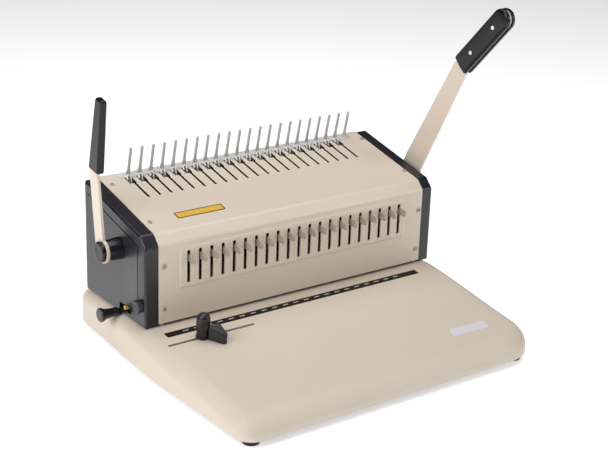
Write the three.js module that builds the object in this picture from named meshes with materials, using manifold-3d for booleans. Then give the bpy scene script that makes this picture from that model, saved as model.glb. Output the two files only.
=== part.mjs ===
import * as THREE from "three";
import { mergeVertices } from "three/addons/utils/BufferGeometryUtils.js";
import Module from "manifold-3d";

const wasm = await Module();
wasm.setup();

// Two-lever plastic-comb binding machine, millimetres, +Z up, front towards -Y.
// Working frame: x = 0 at the middle of the 21 holes, y = 0 on the front panel,
// z = 0 on the flat rear part of the base's top. The whole group is then moved
// so that the origin lies under the middle of the machine, on the table.

// ---- driving dimensions ----
const HOLES = 21;
const PITCH = 14.2875; // 9/16 inch
const ORIGIN_SHIFT = [6.2, 25.75, 47.5];

// base
const BASE = { leftFront: -203.8, leftBack: -199.5, right: 192.15, front: -202.2, back: 150.7,
  bottom: -39.5 };
const BASE_BULGE = { left: 6.1, right: 7.2 };
const BASE_CORNER = { frontLeft: 19.5, frontRight: 50.6, rear: 20 };
const BASE_ROUND = { height: 15.5, side: 18, front: 26 }; // elliptical rounding of the top edge
const BASE_WALL = 3.2;
const TABLE_FOLD_Y = -2; // in front of this line the top slopes down to the user
const TABLE_SLOPE = 0.1;
const FOOT_R = 9;
const FOOT_H = 7.7;

// upper body
const COVER_X = [-179.2, 177.8];
const SIDE_COVER_LEFT = [-195.6, -179.6];
const SIDE_COVER_RIGHT = [178.2, 194.2];
const SHEET = 1.5;
const PANEL_BOTTOM = 3.2;
const PANEL_TOP = 90.2;
const BEND = [11.5, 102]; // y, z of the upper bend
const TOP_SLOPE = 0.2217;
const BODY_BACK = 133;
const COMB_GAP_Y = 121.3; // rear edge of the slotted top
const RAISED = { x: [-155.4, 153.4], z: [37.3, 86], height: 1, rim: 3.5 };
const SLOT = { left: -2.7, right: 1.25, z: [44, 80.2] };

// levers
const AXIS = [56, 74.2]; // y, z of the common lever axis
const PUNCH_ANGLE = 55;
const COMB_ANGLE = 70;
const ROD_R = 6;
const SLEEVE_R = 9;

// punching
const STROKE = 13;
const CAM_R = 17;
const CAM_HALF = (PUNCH_ANGLE / 2) * (Math.PI / 180);
const CAM_OFFSET = STROKE / (2 * Math.sin(CAM_HALF));
const CAM_GAP = 0.4;
const PUNCH_SIZE = [7.8, 3];
const PIN = { width: 1.8, z: [67.5, 75.5], y: [-12.7, 18], tip: 3 };
const DIE_Y = [5, 26];

// comb opening
const HOOK_DX = -3.2; // hooks and their slots run this far to the left of the holes
const HOOK_TRAVEL = 28;
const TOP_SLOT = { width: 2.6, y: [77.5, 110] };
const NOTCH = { left: -5.9, right: 2.6, y: 108.5 };
const PRONG_DX = -2;
const PRONG = { y: 127, width: 3.2, thick: 1.6, height: 34 };
const CRANK_R = 24.5;

const holeX = (k) => (k - (HOLES + 1) / 2) * PITCH;
const HOLE_LIST = Array.from({ length: HOLES }, (_, i) => i + 1);

// ---- small geometry helpers ----
function solid(geometry) {
  const g = geometry.clone();
  g.deleteAttribute("normal");
  g.deleteAttribute("uv");
  const m = mergeVertices(g, 1e-4);
  return new wasm.Manifold(new wasm.Mesh({
    numProp: 3,
    vertProperties: new Float32Array(m.attributes.position.array),
    triVerts: new Uint32Array(m.index.array),
  }));
}

function geometryOf(body) {
  const m = body.getMesh();
  const g = new THREE.BufferGeometry();
  g.setAttribute("position", new THREE.BufferAttribute(new Float32Array(m.vertProperties), 3));
  g.setIndex(Array.from(m.triVerts));
  g.computeVertexNormals();
  return g;
}

const box = (x0, x1, y0, y1, z0, z1) =>
  new THREE.BoxGeometry(x1 - x0, y1 - y0, z1 - z0)
    .translate((x0 + x1) / 2, (y0 + y1) / 2, (z0 + z1) / 2);

function extrude(points, depth) {
  const shape = new THREE.Shape(points.map(([a, b]) => new THREE.Vector2(a, b)));
  return new THREE.ExtrudeGeometry(shape, { depth, bevelEnabled: false, curveSegments: 12 });
}

// outline given as (y, z), swept along x
const prismX = (points, x0, x1) => {
  const g = extrude(points, x1 - x0);
  g.applyMatrix4(new THREE.Matrix4().set(0, 0, 1, x0, 1, 0, 0, 0, 0, 1, 0, 0, 0, 0, 0, 1));
  return g;
};
// outline given as (x, y), swept along z
const prismZ = (points, z0, z1) => extrude(points, z1 - z0).translate(0, 0, z0);

const cylX = (y, z, r, x0, x1, n = 32) =>
  new THREE.CylinderGeometry(r, r, x1 - x0, n).rotateZ(-Math.PI / 2).translate((x0 + x1) / 2, y, z);
const cylZ = (x, y, r, z0, z1, n = 32) =>
  new THREE.CylinderGeometry(r, r, z1 - z0, n).rotateX(Math.PI / 2).translate(x, y, (z0 + z1) / 2);

const lathe = (profile, n) =>
  new THREE.LatheGeometry(profile.map(([r, h]) => new THREE.Vector2(r, h)), n);
const latheX = (profile, y, z, n = 28) => lathe(profile, n).rotateZ(-Math.PI / 2).translate(0, y, z);
const latheZ = (profile, x, y, n = 28) => lathe(profile, n).rotateX(Math.PI / 2).translate(x, y, 0);

const join = (...parts) => parts.map(solid).reduce((a, b) => a.add(b));
const cut = (body, ...tools) => tools.reduce((a, t) => a.subtract(solid(t)), body);

// closed skin through rings of equal length; caps are lists of vertex loops in ring indices
function loft(rings, capFirst, capLast) {
  const n = rings[0].length;
  const position = rings.flat(2);
  const index = [];
  for (let r = 0; r + 1 < rings.length; r++) {
    for (let i = 0; i < n; i++) {
      const j = (i + 1) % n;
      const [a, b, c, d] = [r * n + i, r * n + j, (r + 1) * n + j, (r + 1) * n + i];
      index.push(a, b, c, a, c, d);
    }
  }
  const fill = (loops, r, reverse) => {
    for (const loop of loops) {
      const flat = loop.map((i) => new THREE.Vector2(...project2(rings[r][i], rings[r])));
      const turn = Math.sign(THREE.ShapeUtils.area(flat));
      for (const tri of THREE.ShapeUtils.triangulateShape(flat, [])) {
        const same = Math.sign(THREE.ShapeUtils.area(tri.map((i) => flat[i]))) === turn;
        const ids = tri.map((i) => r * n + loop[i]);
        index.push(...(same === reverse ? ids.reverse() : ids));
      }
    }
  };
  const all = rings[0].map((_, i) => i);
  fill(capFirst ?? [all], 0, true);
  fill(capLast ?? [all], rings.length - 1, false);
  const corner = (i) => new THREE.Vector3(...position.slice(3 * index[i], 3 * index[i] + 3));
  let volume = 0;
  for (let i = 0; i < index.length; i += 3) {
    volume += corner(i).dot(corner(i + 1).cross(corner(i + 2)));
  }
  if (volume < 0) index.reverse();
  const g = new THREE.BufferGeometry();
  g.setAttribute("position", new THREE.BufferAttribute(new Float32Array(position), 3));
  g.setIndex(index);
  return g;
}

// drops the coordinate along which the ring is thinnest, keeping its handedness
function project2(p, ring) {
  const span = [0, 1, 2].map((k) => {
    const v = ring.map((q) => q[k]);
    return Math.max(...v) - Math.min(...v);
  });
  const thin = span.indexOf(Math.min(...span));
  return [[p[1], p[2]], [p[2], p[0]], [p[0], p[1]]][thin];
}

// ---- frames ----
const topZ = (y) => BEND[1] + TOP_SLOPE * (y - BEND[0]);
const TOP_TILT = Math.atan(TOP_SLOPE);
const TABLE_TILT = Math.atan(TABLE_SLOPE);
// (x, u, n): u runs up the sloping top, n stands on it; u = 0 at y = 0
const onTop = (g) => g.rotateX(TOP_TILT).translate(0, 0, topZ(0));
const topU = (y) => y / Math.cos(TOP_TILT);
// (x, v, w): v runs along the sloping table, w stands on it; v = 0 on the fold line
const onTable = (g) => g.rotateX(TABLE_TILT).translate(0, TABLE_FOLD_Y, 0);
const tableV = (y) => (y - TABLE_FOLD_Y) / Math.cos(TABLE_TILT);

// ---- scene ----
const machine = new THREE.Group();
machine.position.set(...ORIGIN_SHIFT);

const LOOKS = {
  beige_plastic: ["#e0d2c2", 0.55, 0],
  beige_paint: ["#dccdb8", 0.45, 0.1],
  black_plastic: ["#37363b", 0.3, 0],
  black_metal: ["#2b2b2e", 0.45, 0.2],
  rubber: ["#1d1c1c", 0.85, 0],
  steel: ["#b4aea6", 0.35, 0.9],
  zinc: ["#c4c2bd", 0.4, 0.85],
  dark_steel: ["#5a5855", 0.5, 0.85],
  brass: ["#b08d4a", 0.35, 0.9],
  yellow_plastic: ["#d9c76a", 0.5, 0],
  strip_black: ["#161312", 0.4, 0],
};

function place(name, body, look, parent = machine) {
  const [color, roughness, metalness] = LOOKS[look];
  const mesh = new THREE.Mesh(
    body.isBufferGeometry ? body : geometryOf(body),
    new THREE.MeshStandardMaterial({ color, roughness, metalness }),
  );
  mesh.name = name;
  parent.add(mesh);
  return mesh;
}

// ---- base shell: rounded slab with swelling sides and a large rounded top edge ----
function baseStations() {
  const { leftFront, leftBack, right, front, back } = BASE;
  const { frontLeft: rl, frontRight: rr, rear: rb } = BASE_CORNER;
  const stations = [];
  const corner = (x, y, r, from) => {
    for (let i = 0; i <= 6; i++) {
      const a = THREE.MathUtils.degToRad(from + 15 * i);
      stations.push({ at: [x, y], d: [Math.cos(a), Math.sin(a)], r, in: from });
    }
  };
  const side = (edgeX, sign, swell, y0, y1, ys) => {
    for (const y of ys) {
      const t = (2 * (y - y0)) / (y1 - y0) - 1;
      stations.push({ at: [edgeX(y) + sign * swell * (1 - t * t) ** 2, y], d: [sign, 0], r: 0 });
    }
  };
  const leftX = (y) => leftFront + ((leftBack - leftFront) * (y - front)) / (back - front);
  corner(right, front, rr, -90);
  side(() => right, 1, BASE_BULGE.right, front + rr, back - rb,
    [-125, -95, -65, -35, TABLE_FOLD_Y, 25, 50, 80, 105]);
  corner(right, back, rb, 0);
  corner(leftBack, back, rb, 90);
  side(leftX, -1, BASE_BULGE.left, front + rl, back - rb,
    [105, 80, 50, 25, TABLE_FOLD_Y, -35, -70, -105, -140]);
  corner(leftFront, front, rl, 180);
  return stations;
}
const STATIONS = baseStations();
const tableZ = (y) => Math.min(0, TABLE_SLOPE * (y - TABLE_FOLD_Y));

// outline drawn in by sideways and endways amounts; a corner keeps a small radius
const MIN_CORNER = 1.2;
function stationPoint({ at, d, r, in: from }, inX, inY) {
  if (r === 0) return [at[0] - d[0] * inX, at[1]];
  const toX = from === -90 || from === 0 ? -1 : 1;
  const toY = from === -90 || from === 180 ? 1 : -1;
  const rx = Math.max(r - inX, MIN_CORNER);
  const ry = Math.max(r - inY, MIN_CORNER);
  return [at[0] + toX * (inX + rx) + d[0] * rx, at[1] + toY * (inY + ry) + d[1] * ry];
}

// skin: distance inside the outer surface; turn: 0 at the foot of the rounding, 1 at its top
function baseRing(skin, turn) {
  const s = 1 - Math.cos((turn * Math.PI) / 2);
  const down = skin + (BASE_ROUND.height - skin) * (1 - Math.sin((turn * Math.PI) / 2));
  return STATIONS.map((station) => {
    const endRound = station.d[1] < 0 ? BASE_ROUND.front : BASE_ROUND.side;
    const [x, y] = stationPoint(station, skin + (BASE_ROUND.side - skin) * s,
      skin + (endRound - skin) * s);
    return [x, y, tableZ(y) - down];
  });
}
const baseOutline = (skin) => baseRing(skin, 0).map(([x, y]) => [x, y]);

function baseBody(skin, bottom) {
  const rings = [baseOutline(skin).map(([x, y]) => [x, y, bottom])];
  for (let i = 0; i <= 4; i++) rings.push(baseRing(skin, i / 4));
  const fold = STATIONS.flatMap((s, i) => (s.r === 0 && s.at[1] === TABLE_FOLD_Y ? [i] : []));
  const [right, left] = fold;
  const rearLoop = [];
  for (let i = right; i <= left; i++) rearLoop.push(i);
  const frontLoop = [];
  for (let i = left; i <= right + STATIONS.length; i++) frontLoop.push(i % STATIONS.length);
  return loft(rings, undefined, [rearLoop, frontLoop]);
}

const LOCK_ROD = { y: 57, z: 1.4, r: 3 };
const GUIDE_SLOT = { y: -38.6, x: [-191, -84], width: 3.6 };
const STRIP = { x: [-182, 159.6], y: [-23, -14.4] };
const TRAY = { x: [-150, 150], y: [2.5, 149], z: [-35.4, -12.5] };

const baseShell = cut(
  solid(baseBody(0, BASE.bottom)),
  baseBody(BASE_WALL, BASE.bottom - 5),
  box(-168.6, 168.6, 4.4, 26.6, -10, 5),
  onTable(box(...GUIDE_SLOT.x, tableV(GUIDE_SLOT.y - GUIDE_SLOT.width / 2),
    tableV(GUIDE_SLOT.y + GUIDE_SLOT.width / 2), -8, 5)),
  onTable(box(STRIP.x[0] - 0.4, STRIP.x[1] + 0.4, tableV(STRIP.y[0] - 0.4),
    tableV(STRIP.y[1] + 0.4), -1.2, 5)),
  box(TRAY.x[0] - 1.2, TRAY.x[1] + 1.2, 138, 160, TRAY.z[0] - 0.9, TRAY.z[1] + 1.2),
  cylX(LOCK_ROD.y, LOCK_ROD.z, LOCK_ROD.r + 0.6, -230, -120, 24),
);
place("base_shell", baseShell, "beige_plastic");

place("base_floor", prismZ(baseOutline(BASE_WALL + 0.5), BASE.bottom, BASE.bottom + 1.5),
  "dark_steel");

const FEET = {
  foot_front_left: [-186.6, -186],
  foot_front_right: [161.4, -184],
  foot_rear_left: [-180, 130],
  foot_rear_right: [172, 130],
};
const footTop = BASE.bottom - 0.3;
for (const [name, [x, y]] of Object.entries(FEET)) {
  place(name, latheZ([
    [0, footTop - FOOT_H], [FOOT_R - 1, footTop - FOOT_H], [FOOT_R, footTop - FOOT_H + 1],
    [FOOT_R, footTop], [0, footTop],
  ], x, y, 24), "rubber");
}

// ---- end frames carry the shafts and guide the carriage and the hook slider ----
const AXIS_U = AXIS[0] * Math.cos(TOP_TILT) + (AXIS[1] - topZ(0)) * Math.sin(TOP_TILT);
const AXIS_N = -AXIS[0] * Math.sin(TOP_TILT) + (AXIS[1] - topZ(0)) * Math.cos(TOP_TILT);
const SLIDER_N = [-7.6, -5.8];
const TENON_U = [101, 121];
const BUSH_R = { left: 12, right: 9 };

function endFrame(x0, x1, bushR) {
  const inner = SHEET + 0.8;
  const outline = [
    [inner + 0.4, 0.4], [inner + 0.4, PANEL_TOP - 2], [BEND[0] + 2.4, topZ(BEND[0]) - inner],
    [129.4, topZ(129.4) - inner - 0.4], [129.4, 0.4],
  ];
  return cut(
    solid(prismX(outline, x0, x1)),
    cylX(AXIS[0], AXIS[1], bushR, x0 - 1, x1 + 1, 24),
    box(x0 - 1, x1 + 1, 11.6, 22.4, 44, 84),
    onTop(box(x0 - 1, x1 + 1, TENON_U[0] - HOOK_TRAVEL - 0.7, TENON_U[1] + 0.5,
      SLIDER_N[0] - 0.4, SLIDER_N[1] + 0.4)),
    prismX([[80, 14], [118, 14], [118, 92], [100, 92], [80, 60]], x0 - 1, x1 + 1),
  );
}
place("frame_left", cut(endFrame(-176.4, -173.4, BUSH_R.left + 0.05),
  cylX(LOCK_ROD.y, LOCK_ROD.z, LOCK_ROD.r + 0.15, -180, -170, 24)), "zinc");
place("frame_right", endFrame(172, 175, BUSH_R.right + 0.05), "zinc");

const bush = (outer, bore, x0, x1) =>
  cut(solid(cylX(...AXIS, outer, x0, x1, 24)), cylX(...AXIS, bore, x0 - 1, x1 + 1, 24));
place("bush_left", bush(BUSH_R.left, SLEEVE_R + 0.13, -177.2, -171.4), "brass");
place("bush_right", bush(BUSH_R.right, ROD_R + 0.1, 170, 176.8), "brass");

// ---- die set: the sheet goes between guide and die ----
const punchHoles = (z0, z1) => HOLE_LIST.map((k) =>
  box(holeX(k) - PUNCH_SIZE[0] / 2 - 0.2, holeX(k) + PUNCH_SIZE[0] / 2 + 0.2,
    12.5 - PUNCH_SIZE[1] / 2 - 0.2, 12.5 + PUNCH_SIZE[1] / 2 + 0.2, z0, z1));
place("punch_guide", cut(solid(box(-168, 168, ...DIE_Y, 4, 15)), ...punchHoles(3, 17)), "steel");
place("die_plate", cut(
  join(box(-168, 168, ...DIE_Y, -8, 0.9), box(-168, 168, 20, DIE_Y[1], 0, 3.7)),
  ...punchHoles(-9, 2)), "steel");

// ---- front and top cover, one bent sheet with all its slots ----
const coverOuter = [
  [0, PANEL_BOTTOM], [0, PANEL_TOP], [2.4, PANEL_TOP + 4.3], [6.6, PANEL_TOP + 8.6],
  [BEND[0], BEND[1]], [BODY_BACK, topZ(BODY_BACK)],
];
const coverInner = [
  [BODY_BACK, topZ(BODY_BACK) - SHEET], [BEND[0] + 0.5, BEND[1] - SHEET],
  [7.5, PANEL_TOP + 7.4], [3.6, PANEL_TOP + 3.5], [SHEET, PANEL_TOP - 0.4], [SHEET, PANEL_BOTTOM],
];
const COMB_PLATE_X = [-157.4, 161.4];
const cutterTop = [];
for (const k of HOLE_LIST) {
  const x = holeX(k) + HOOK_DX;
  cutterTop.push(onTop(box(x - TOP_SLOT.width / 2, x + TOP_SLOT.width / 2,
    topU(TOP_SLOT.y[0]), topU(TOP_SLOT.y[1]), -5, 5)));
  cutterTop.push(onTop(box(x + NOTCH.left, x + NOTCH.right, topU(NOTCH.y), topU(124), -5, 5)));
}
const frontCover = cut(
  join(prismX([...coverOuter, ...coverInner], ...COVER_X),
    box(...RAISED.x, -RAISED.height, 0.5, ...RAISED.z)),
  box(RAISED.x[0] + RAISED.rim, RAISED.x[1] - RAISED.rim, SHEET - RAISED.height, SHEET + 1,
    RAISED.z[0] + RAISED.rim, RAISED.z[1] - RAISED.rim),
  ...HOLE_LIST.map((k) =>
    box(holeX(k) + SLOT.left, holeX(k) + SLOT.right, -3, 4, ...SLOT.z)),
  box(...COMB_PLATE_X, COMB_GAP_Y, 140, 100, 140),
  ...cutterTop,
);
place("front_cover", frontCover, "beige_paint");

// full height at both ends, lower behind the comb flange
const REAR_Y = [130.6, 132.6];
place("rear_panel", join(
  box(...COVER_X, ...REAR_Y, 0.4, 108),
  box(COVER_X[0], COMB_PLATE_X[0] - 0.3, ...REAR_Y, 100, 125.8),
  box(COMB_PLATE_X[1] + 0.3, COVER_X[1], ...REAR_Y, 100, 125.8),
), "beige_paint");

// ---- black end covers: trays with a bevelled outer edge ----
const END_OUTLINE = [
  [1.2, 0.4], [1.2, 90.6], [11.9, 101.8], [132.6, topZ(132.6) - 0.3], [132.6, 0.4],
];
const END_MIDDLE = [64, 56];
function shrink(points, d) {
  const n = points.length;
  const line = (i) => {
    const [a, b] = [points[i], points[(i + 1) % n]];
    const [dx, dy] = [b[0] - a[0], b[1] - a[1]];
    const len = Math.hypot(dx, dy);
    let nx = dy / len;
    let ny = -dx / len;
    if ((END_MIDDLE[0] - a[0]) * nx + (END_MIDDLE[1] - a[1]) * ny < 0) [nx, ny] = [-nx, -ny];
    return [nx, ny, nx * a[0] + ny * a[1] + d];
  };
  return points.map((_, i) => {
    const [a1, b1, c1] = line((i + n - 1) % n);
    const [a2, b2, c2] = line(i);
    const det = a1 * b2 - a2 * b1;
    return [(c1 * b2 - c2 * b1) / det, (a1 * c2 - a2 * c1) / det];
  });
}

function endCover(inner, outer) {
  const out = Math.sign(outer - inner);
  const ring = (x, d) => shrink(END_OUTLINE, d).map(([y, z]) => [x, y, z]);
  const rings = [ring(inner, 0), ring(outer - 2.6 * out, 0), ring(outer, 2.4)];
  const hollow = shrink(END_OUTLINE, 3.2);
  const xs = [inner - 2 * out, outer - 3.6 * out].sort((a, b) => a - b);
  return cut(solid(loft(rings)), prismX(hollow, ...xs));
}

const POINTER_SLOT = { y: [31, 56], z: [6.2, 13] };
const KNOB_AT = [11, 24];
const [leftInner, leftOuter] = [SIDE_COVER_LEFT[1], SIDE_COVER_LEFT[0]];
const grooveZ = (y) => topZ(y) - 13.4;
place("side_cover_left", cut(
  endCover(leftInner, leftOuter),
  cylX(...AXIS, SLEEVE_R + 0.5, -200, -170, 24),
  cylX(...KNOB_AT, 2.15, -200, -185, 20),
  box(-200, -185, ...POINTER_SLOT.y, ...POINTER_SLOT.z),
  cylX(LOCK_ROD.y, LOCK_ROD.z, LOCK_ROD.r + 0.5, -200, -170, 24),
  prismX([[17, grooveZ(17)], [126, grooveZ(126)], [126, grooveZ(126) - 1.3],
    [18.3, grooveZ(17) - 1.6], [18.3, 29], [17, 29]], leftOuter - 1, leftOuter + 0.8),
), "black_plastic");
place("side_cover_right", cut(
  endCover(SIDE_COVER_RIGHT[0], SIDE_COVER_RIGHT[1]),
  cylX(...AXIS, ROD_R + 0.6, 170, 200, 24),
), "black_plastic");

// ---- fixed comb: flange with 22 upright prongs that hold the binding comb's spine ----
const combPieces = [
  onTop(box(COMB_PLATE_X[0] + 0.3, COMB_PLATE_X[1] - 0.3, topU(COMB_GAP_Y + 0.5),
    topU(BODY_BACK) - 0.2, -SHEET, 0)),
  box(COMB_PLATE_X[0] + 0.3, COMB_PLATE_X[1] - 0.3, ...REAR_Y, 110, topZ(130.6) - 1),
];
const prongU = topU(PRONG.y);
for (let k = 1; k <= HOLES + 1; k++) {
  const x = holeX(k) + PRONG_DX;
  const half = PRONG.width / 2;
  const outline = [
    [x - half - 1.5, -1], [x + half + 1.5, -1], [x + half, 8],
    [x + half, PRONG.height - 1.2], [x + half - 1.1, PRONG.height],
    [x - half + 1.1, PRONG.height], [x - half, PRONG.height - 1.2], [x - half, 8],
  ];
  const g = extrude(outline, PRONG.thick).rotateX(Math.PI / 2).translate(0, prongU, 0);
  combPieces.push(onTop(g));
}
place("comb_plate", join(...combPieces), "zinc");

// ---- printed position strip let into the table ----
place("scale_strip", onTable(box(...STRIP.x, tableV(STRIP.y[0]), tableV(STRIP.y[1]), -0.9, 0.3)),
  "strip_black");

// ---- punch lever: cranked flat bar, riveted grip scales, shaft with two cams ----
const PUNCH_BEND = [-27, 243];
const PUNCH_TIP = [-93.6, 314.4];
const PUNCH_FOOT = [64.5, 73.5]; // the bar's middle line passes behind the axis
const BAR_X = [198.6, 201.7];
const unit = (a, b) => {
  const l = Math.hypot(b[0] - a[0], b[1] - a[1]);
  return [(b[0] - a[0]) / l, (b[1] - a[1]) / l];
};
const along = (p, d, s, off = 0) => [p[0] + d[0] * s - d[1] * off, p[1] + d[1] * s + d[0] * off];
const gripDir = unit(PUNCH_BEND, PUNCH_TIP);
const barDir = unit(PUNCH_FOOT, PUNCH_BEND);
const gripLength = Math.hypot(PUNCH_TIP[0] - PUNCH_BEND[0], PUNCH_TIP[1] - PUNCH_BEND[1]);

const roundEnd = (p, dir, s, r, n = 12) => Array.from({ length: n + 1 }, (_, i) => {
  const a = (Math.PI * i) / n;
  return along(p, dir, s + r * Math.sin(a), -r * Math.cos(a));
});
const barOutline = [
  along(AXIS, barDir, 0, 18.2), along(AXIS, barDir, 0, -18.2),
  along(PUNCH_FOOT, barDir, 42, -14.8), along(PUNCH_BEND, barDir, -3, -10.8),
  ...roundEnd(PUNCH_BEND, gripDir, gripLength - 7.8, 10.4),
  along(PUNCH_BEND, barDir, 4, 10.8), along(PUNCH_FOOT, barDir, 42, 14.8),
];
const GRIP_RIVETS = [28, 75].map((s) => along(PUNCH_BEND, gripDir, s));
const rivetHoles = GRIP_RIVETS.map(([y, z]) => cylX(y, z, 2.8, 190, 210, 20));
place("punch_lever_bar", cut(
  join(prismX(barOutline, ...BAR_X), cylX(...AXIS, 18.5, ...BAR_X, 40)),
  cylX(...AXIS, ROD_R + 0.15, 195, 205, 24), ...rivetHoles), "beige_paint");

function gripScale(x0, x1, out) {
  const outline = (d) => {
    const w = 12.2 - d;
    const tail = [-1, -0.6, 0.6, 1].map((t) =>
      along(PUNCH_BEND, gripDir, Math.abs(t) === 1 ? 5 + d : 3 + d, w * t));
    return [...roundEnd(PUNCH_BEND, gripDir, gripLength - w + 4 - 0.8 * d, w, 14),
      ...tail.reverse()];
  };
  const [flat, face] = out > 0 ? [x0, x1] : [x1, x0];
  const ring = (x, d) => outline(d).map(([y, z]) => [x, y, z]);
  const rings = [ring(flat, 0), ring(face - 2 * out, 0), ring(face - 0.6 * out, 0.9), ring(face, 2.6)];
  return cut(solid(loft(rings)), ...rivetHoles);
}
place("punch_grip_outer", gripScale(202, 207.6, 1), "black_plastic");
place("punch_grip_inner", gripScale(192.7, 198.3, -1), "black_plastic");
GRIP_RIVETS.forEach(([y, z], i) => {
  place(`grip_rivet_${i + 1}`, latheX([
    [0, 192.3], [1.8, 192.3], [2.5, 192.8], [2.5, 207.4], [1.8, 207.9], [0, 207.9],
  ], y, z, 16), "steel");
});

const camCentre = [AXIS[0] - CAM_OFFSET * Math.cos(CAM_HALF), AXIS[1] + CAM_OFFSET * Math.sin(CAM_HALF)];
const CAM_X = [140, 149];
place("punch_shaft", join(
  cylX(...AXIS, ROD_R, -199, 203.4, 24),
  cylX(...camCentre, CAM_R, -CAM_X[1], -CAM_X[0], 32),
  cylX(...camCentre, CAM_R, CAM_X[0], CAM_X[1], 32),
), "steel");

// ---- comb lever: flat arm on a sleeve that turns round the punch shaft ----
const COMB_FOOT = [60.8, 74.2];
const COMB_JOINT = [72, 158];
const GRIP_FOOT = [68, 160.5];
const COMB_TIP = [54.7, 240];
const ARM_X = [-215.8, -212.8];
const ARM_HALF = 8.5;
const armDir = unit(COMB_FOOT, COMB_JOINT);
const handDir = unit(GRIP_FOOT, COMB_TIP);
const handLength = Math.hypot(COMB_TIP[0] - GRIP_FOOT[0], COMB_TIP[1] - GRIP_FOOT[1]);
// end of the arm's edge, just below the square end of the grip
const armEnd = (off) => {
  const [y, z] = along(COMB_JOINT, armDir, 0, off);
  const gap = (GRIP_FOOT[0] - y) * handDir[0] + (GRIP_FOOT[1] - z) * handDir[1] - 0.3;
  return along(COMB_JOINT, armDir, gap / (armDir[0] * handDir[0] + armDir[1] * handDir[1]), off);
};
place("comb_lever_arm", join(
  cylX(...AXIS, 13, ...ARM_X, 40),
  prismX([along(COMB_FOOT, armDir, 1, ARM_HALF), along(COMB_FOOT, armDir, 1, -ARM_HALF),
    armEnd(-ARM_HALF), along(GRIP_FOOT, handDir, -0.3, -4.6), along(GRIP_FOOT, handDir, 44, -4),
    along(GRIP_FOOT, handDir, 44, 4), along(GRIP_FOOT, handDir, -0.3, 4.6), armEnd(ARM_HALF)],
  ...ARM_X),
), "beige_paint");
place("comb_lever_cap", latheX([
  [0, -220.3], [9.4, -220.3], [10.7, -219.8], [11.3, -218.6], [11.3, -216.1], [0, -216.1],
], ...AXIS, 36), "black_plastic");
place("comb_lever_hub", cut(
  solid(latheX([[0, -212.5], [10.9, -212.5], [12.2, -198], [12.2, -196], [0, -196]], ...AXIS, 36)),
  cylX(...AXIS, SLEEVE_R + 0.35, -214, -190, 24)), "black_plastic");

function handRing(s, width, thick) {
  const mid = (ARM_X[0] + ARM_X[1]) / 2;
  const [w, t] = [width / 2, thick / 2];
  const c = t * 0.3;
  return [[-t, w - c], [-t, c - w], [c - t, -w], [t - c, -w], [t, c - w], [t, w - c], [t - c, w],
    [c - t, w]].map(([dx, off]) => {
    const [y, z] = along(GRIP_FOOT, handDir, s, off);
    return [mid + dx, y, z];
  });
}
place("comb_lever_grip", cut(
  solid(loft([handRing(0, 19, 8.2), handRing(1, 20, 9), handRing(40, 16.8, 8.4),
    handRing(handLength - 3, 13.6, 7.6), handRing(handLength - 0.8, 12, 6.4),
    handRing(handLength, 9.4, 4.6)])),
  prismX([along(GRIP_FOOT, handDir, -3, -5), along(GRIP_FOOT, handDir, 44.4, -4.35),
    along(GRIP_FOOT, handDir, 44.4, 4.35), along(GRIP_FOOT, handDir, -3, 5)],
  ARM_X[0] - 0.3, ARM_X[1] + 0.3),
), "black_plastic");

// crank on the inner end of the sleeve; its pin runs in the slider's lug
const crankHalf = (COMB_ANGLE / 2) * (Math.PI / 180);
const crankPin = [AXIS_U + CRANK_R * Math.sin(crankHalf), AXIS_N + CRANK_R * Math.cos(crankHalf)];
const topPoint = ([u, n]) => [
  u * Math.cos(TOP_TILT) - n * Math.sin(TOP_TILT),
  topZ(0) + u * Math.sin(TOP_TILT) + n * Math.cos(TOP_TILT),
];
const pinYZ = topPoint(crankPin);
const crankDir = unit(AXIS, pinYZ);
place("comb_shaft", cut(join(
  cylX(...AXIS, SLEEVE_R, -212.4, -164, 24),
  cylX(...AXIS, 12.5, -170.6, -165.6, 24),
  prismX([along(AXIS, crankDir, 0, 8), along(AXIS, crankDir, 0, -8),
    ...roundEnd(AXIS, crankDir, CRANK_R, 5.5, 8)], -170.6, -165.6),
  cylX(...pinYZ, 3, -168, -158.6, 20),
), cylX(...AXIS, ROD_R + 0.12, -220, -150, 24)), "steel");

// ---- hook slider under the top, 21 hooks reaching up through the slots ----
const lugU = crankPin[0];
const sliderPieces = [
  onTop(box(-163, 163, 86, 121.5, ...SLIDER_N)),
  onTop(box(-177.6, 176.4, TENON_U[0], TENON_U[1], ...SLIDER_N)),
  onTop(box(-163.6, -152, lugU - 8, 90, ...SLIDER_N)),
];
for (const k of HOLE_LIST) {
  const x = holeX(k) + HOOK_DX;
  const neck = [[115.6, -6.6], [121.2, -6.6], [123.4, 1.0], [123.4, 3.8], [121.4, 3.8]];
  const tip = [[123.4, 2.2], [123.4, 3.8], [121.2, 3.8], [117.8, 1.6], [117.8, 0.4], [118.8, 0.4],
    [121.4, 2.2]];
  sliderPieces.push(onTop(prismX(neck, x - 0.6, x + 0.6)));
  sliderPieces.push(onTop(box(x - 5.6, x, 121.4, 123.4, 2.2, 3.8)));
  sliderPieces.push(onTop(prismX(tip, x - 5.6, x - 4.2)));
}
place("hook_slider", cut(
  join(...sliderPieces, onTop(box(-163.6, -161, lugU - 8, lugU + 8, -25.5, -6.6))),
  onTop(box(-165, -160, lugU - 4, lugU + 4, -21.5, -8.8)),
), "zinc");

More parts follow.
